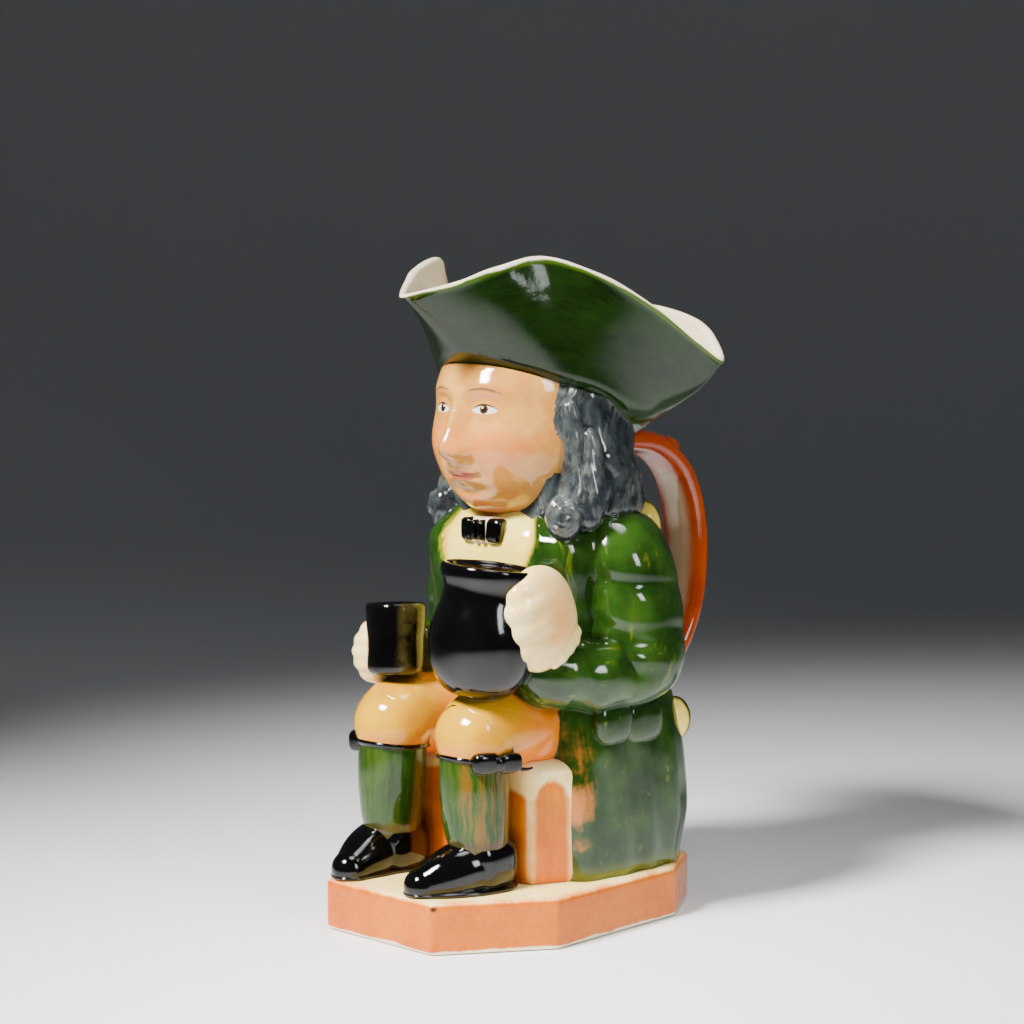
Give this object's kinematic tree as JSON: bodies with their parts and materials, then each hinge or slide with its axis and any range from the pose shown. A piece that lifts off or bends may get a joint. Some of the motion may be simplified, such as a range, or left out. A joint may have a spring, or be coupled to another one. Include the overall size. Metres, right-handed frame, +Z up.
{
  "type": "toby jug",
  "caption": "Hollow pitcher shaped as a seated man in a cocked hat holding a round jug and a mug, open in the hat, with a strap handle at the back.",
  "frame": {"origin": "middle of the base's underside", "axes": "+Z up; the figure faces -Y and its left side, with the round jug, is at +X; the handle is at +Y"},
  "size_m": [0.1314, 0.1726, 0.2408],
  "materials": {
    "glaze": "clear glossy glaze over hand-painted colours"
  },
  "bodies": {
    "root": {"toby_jug": "glaze"}
  },
  "joints": []
}
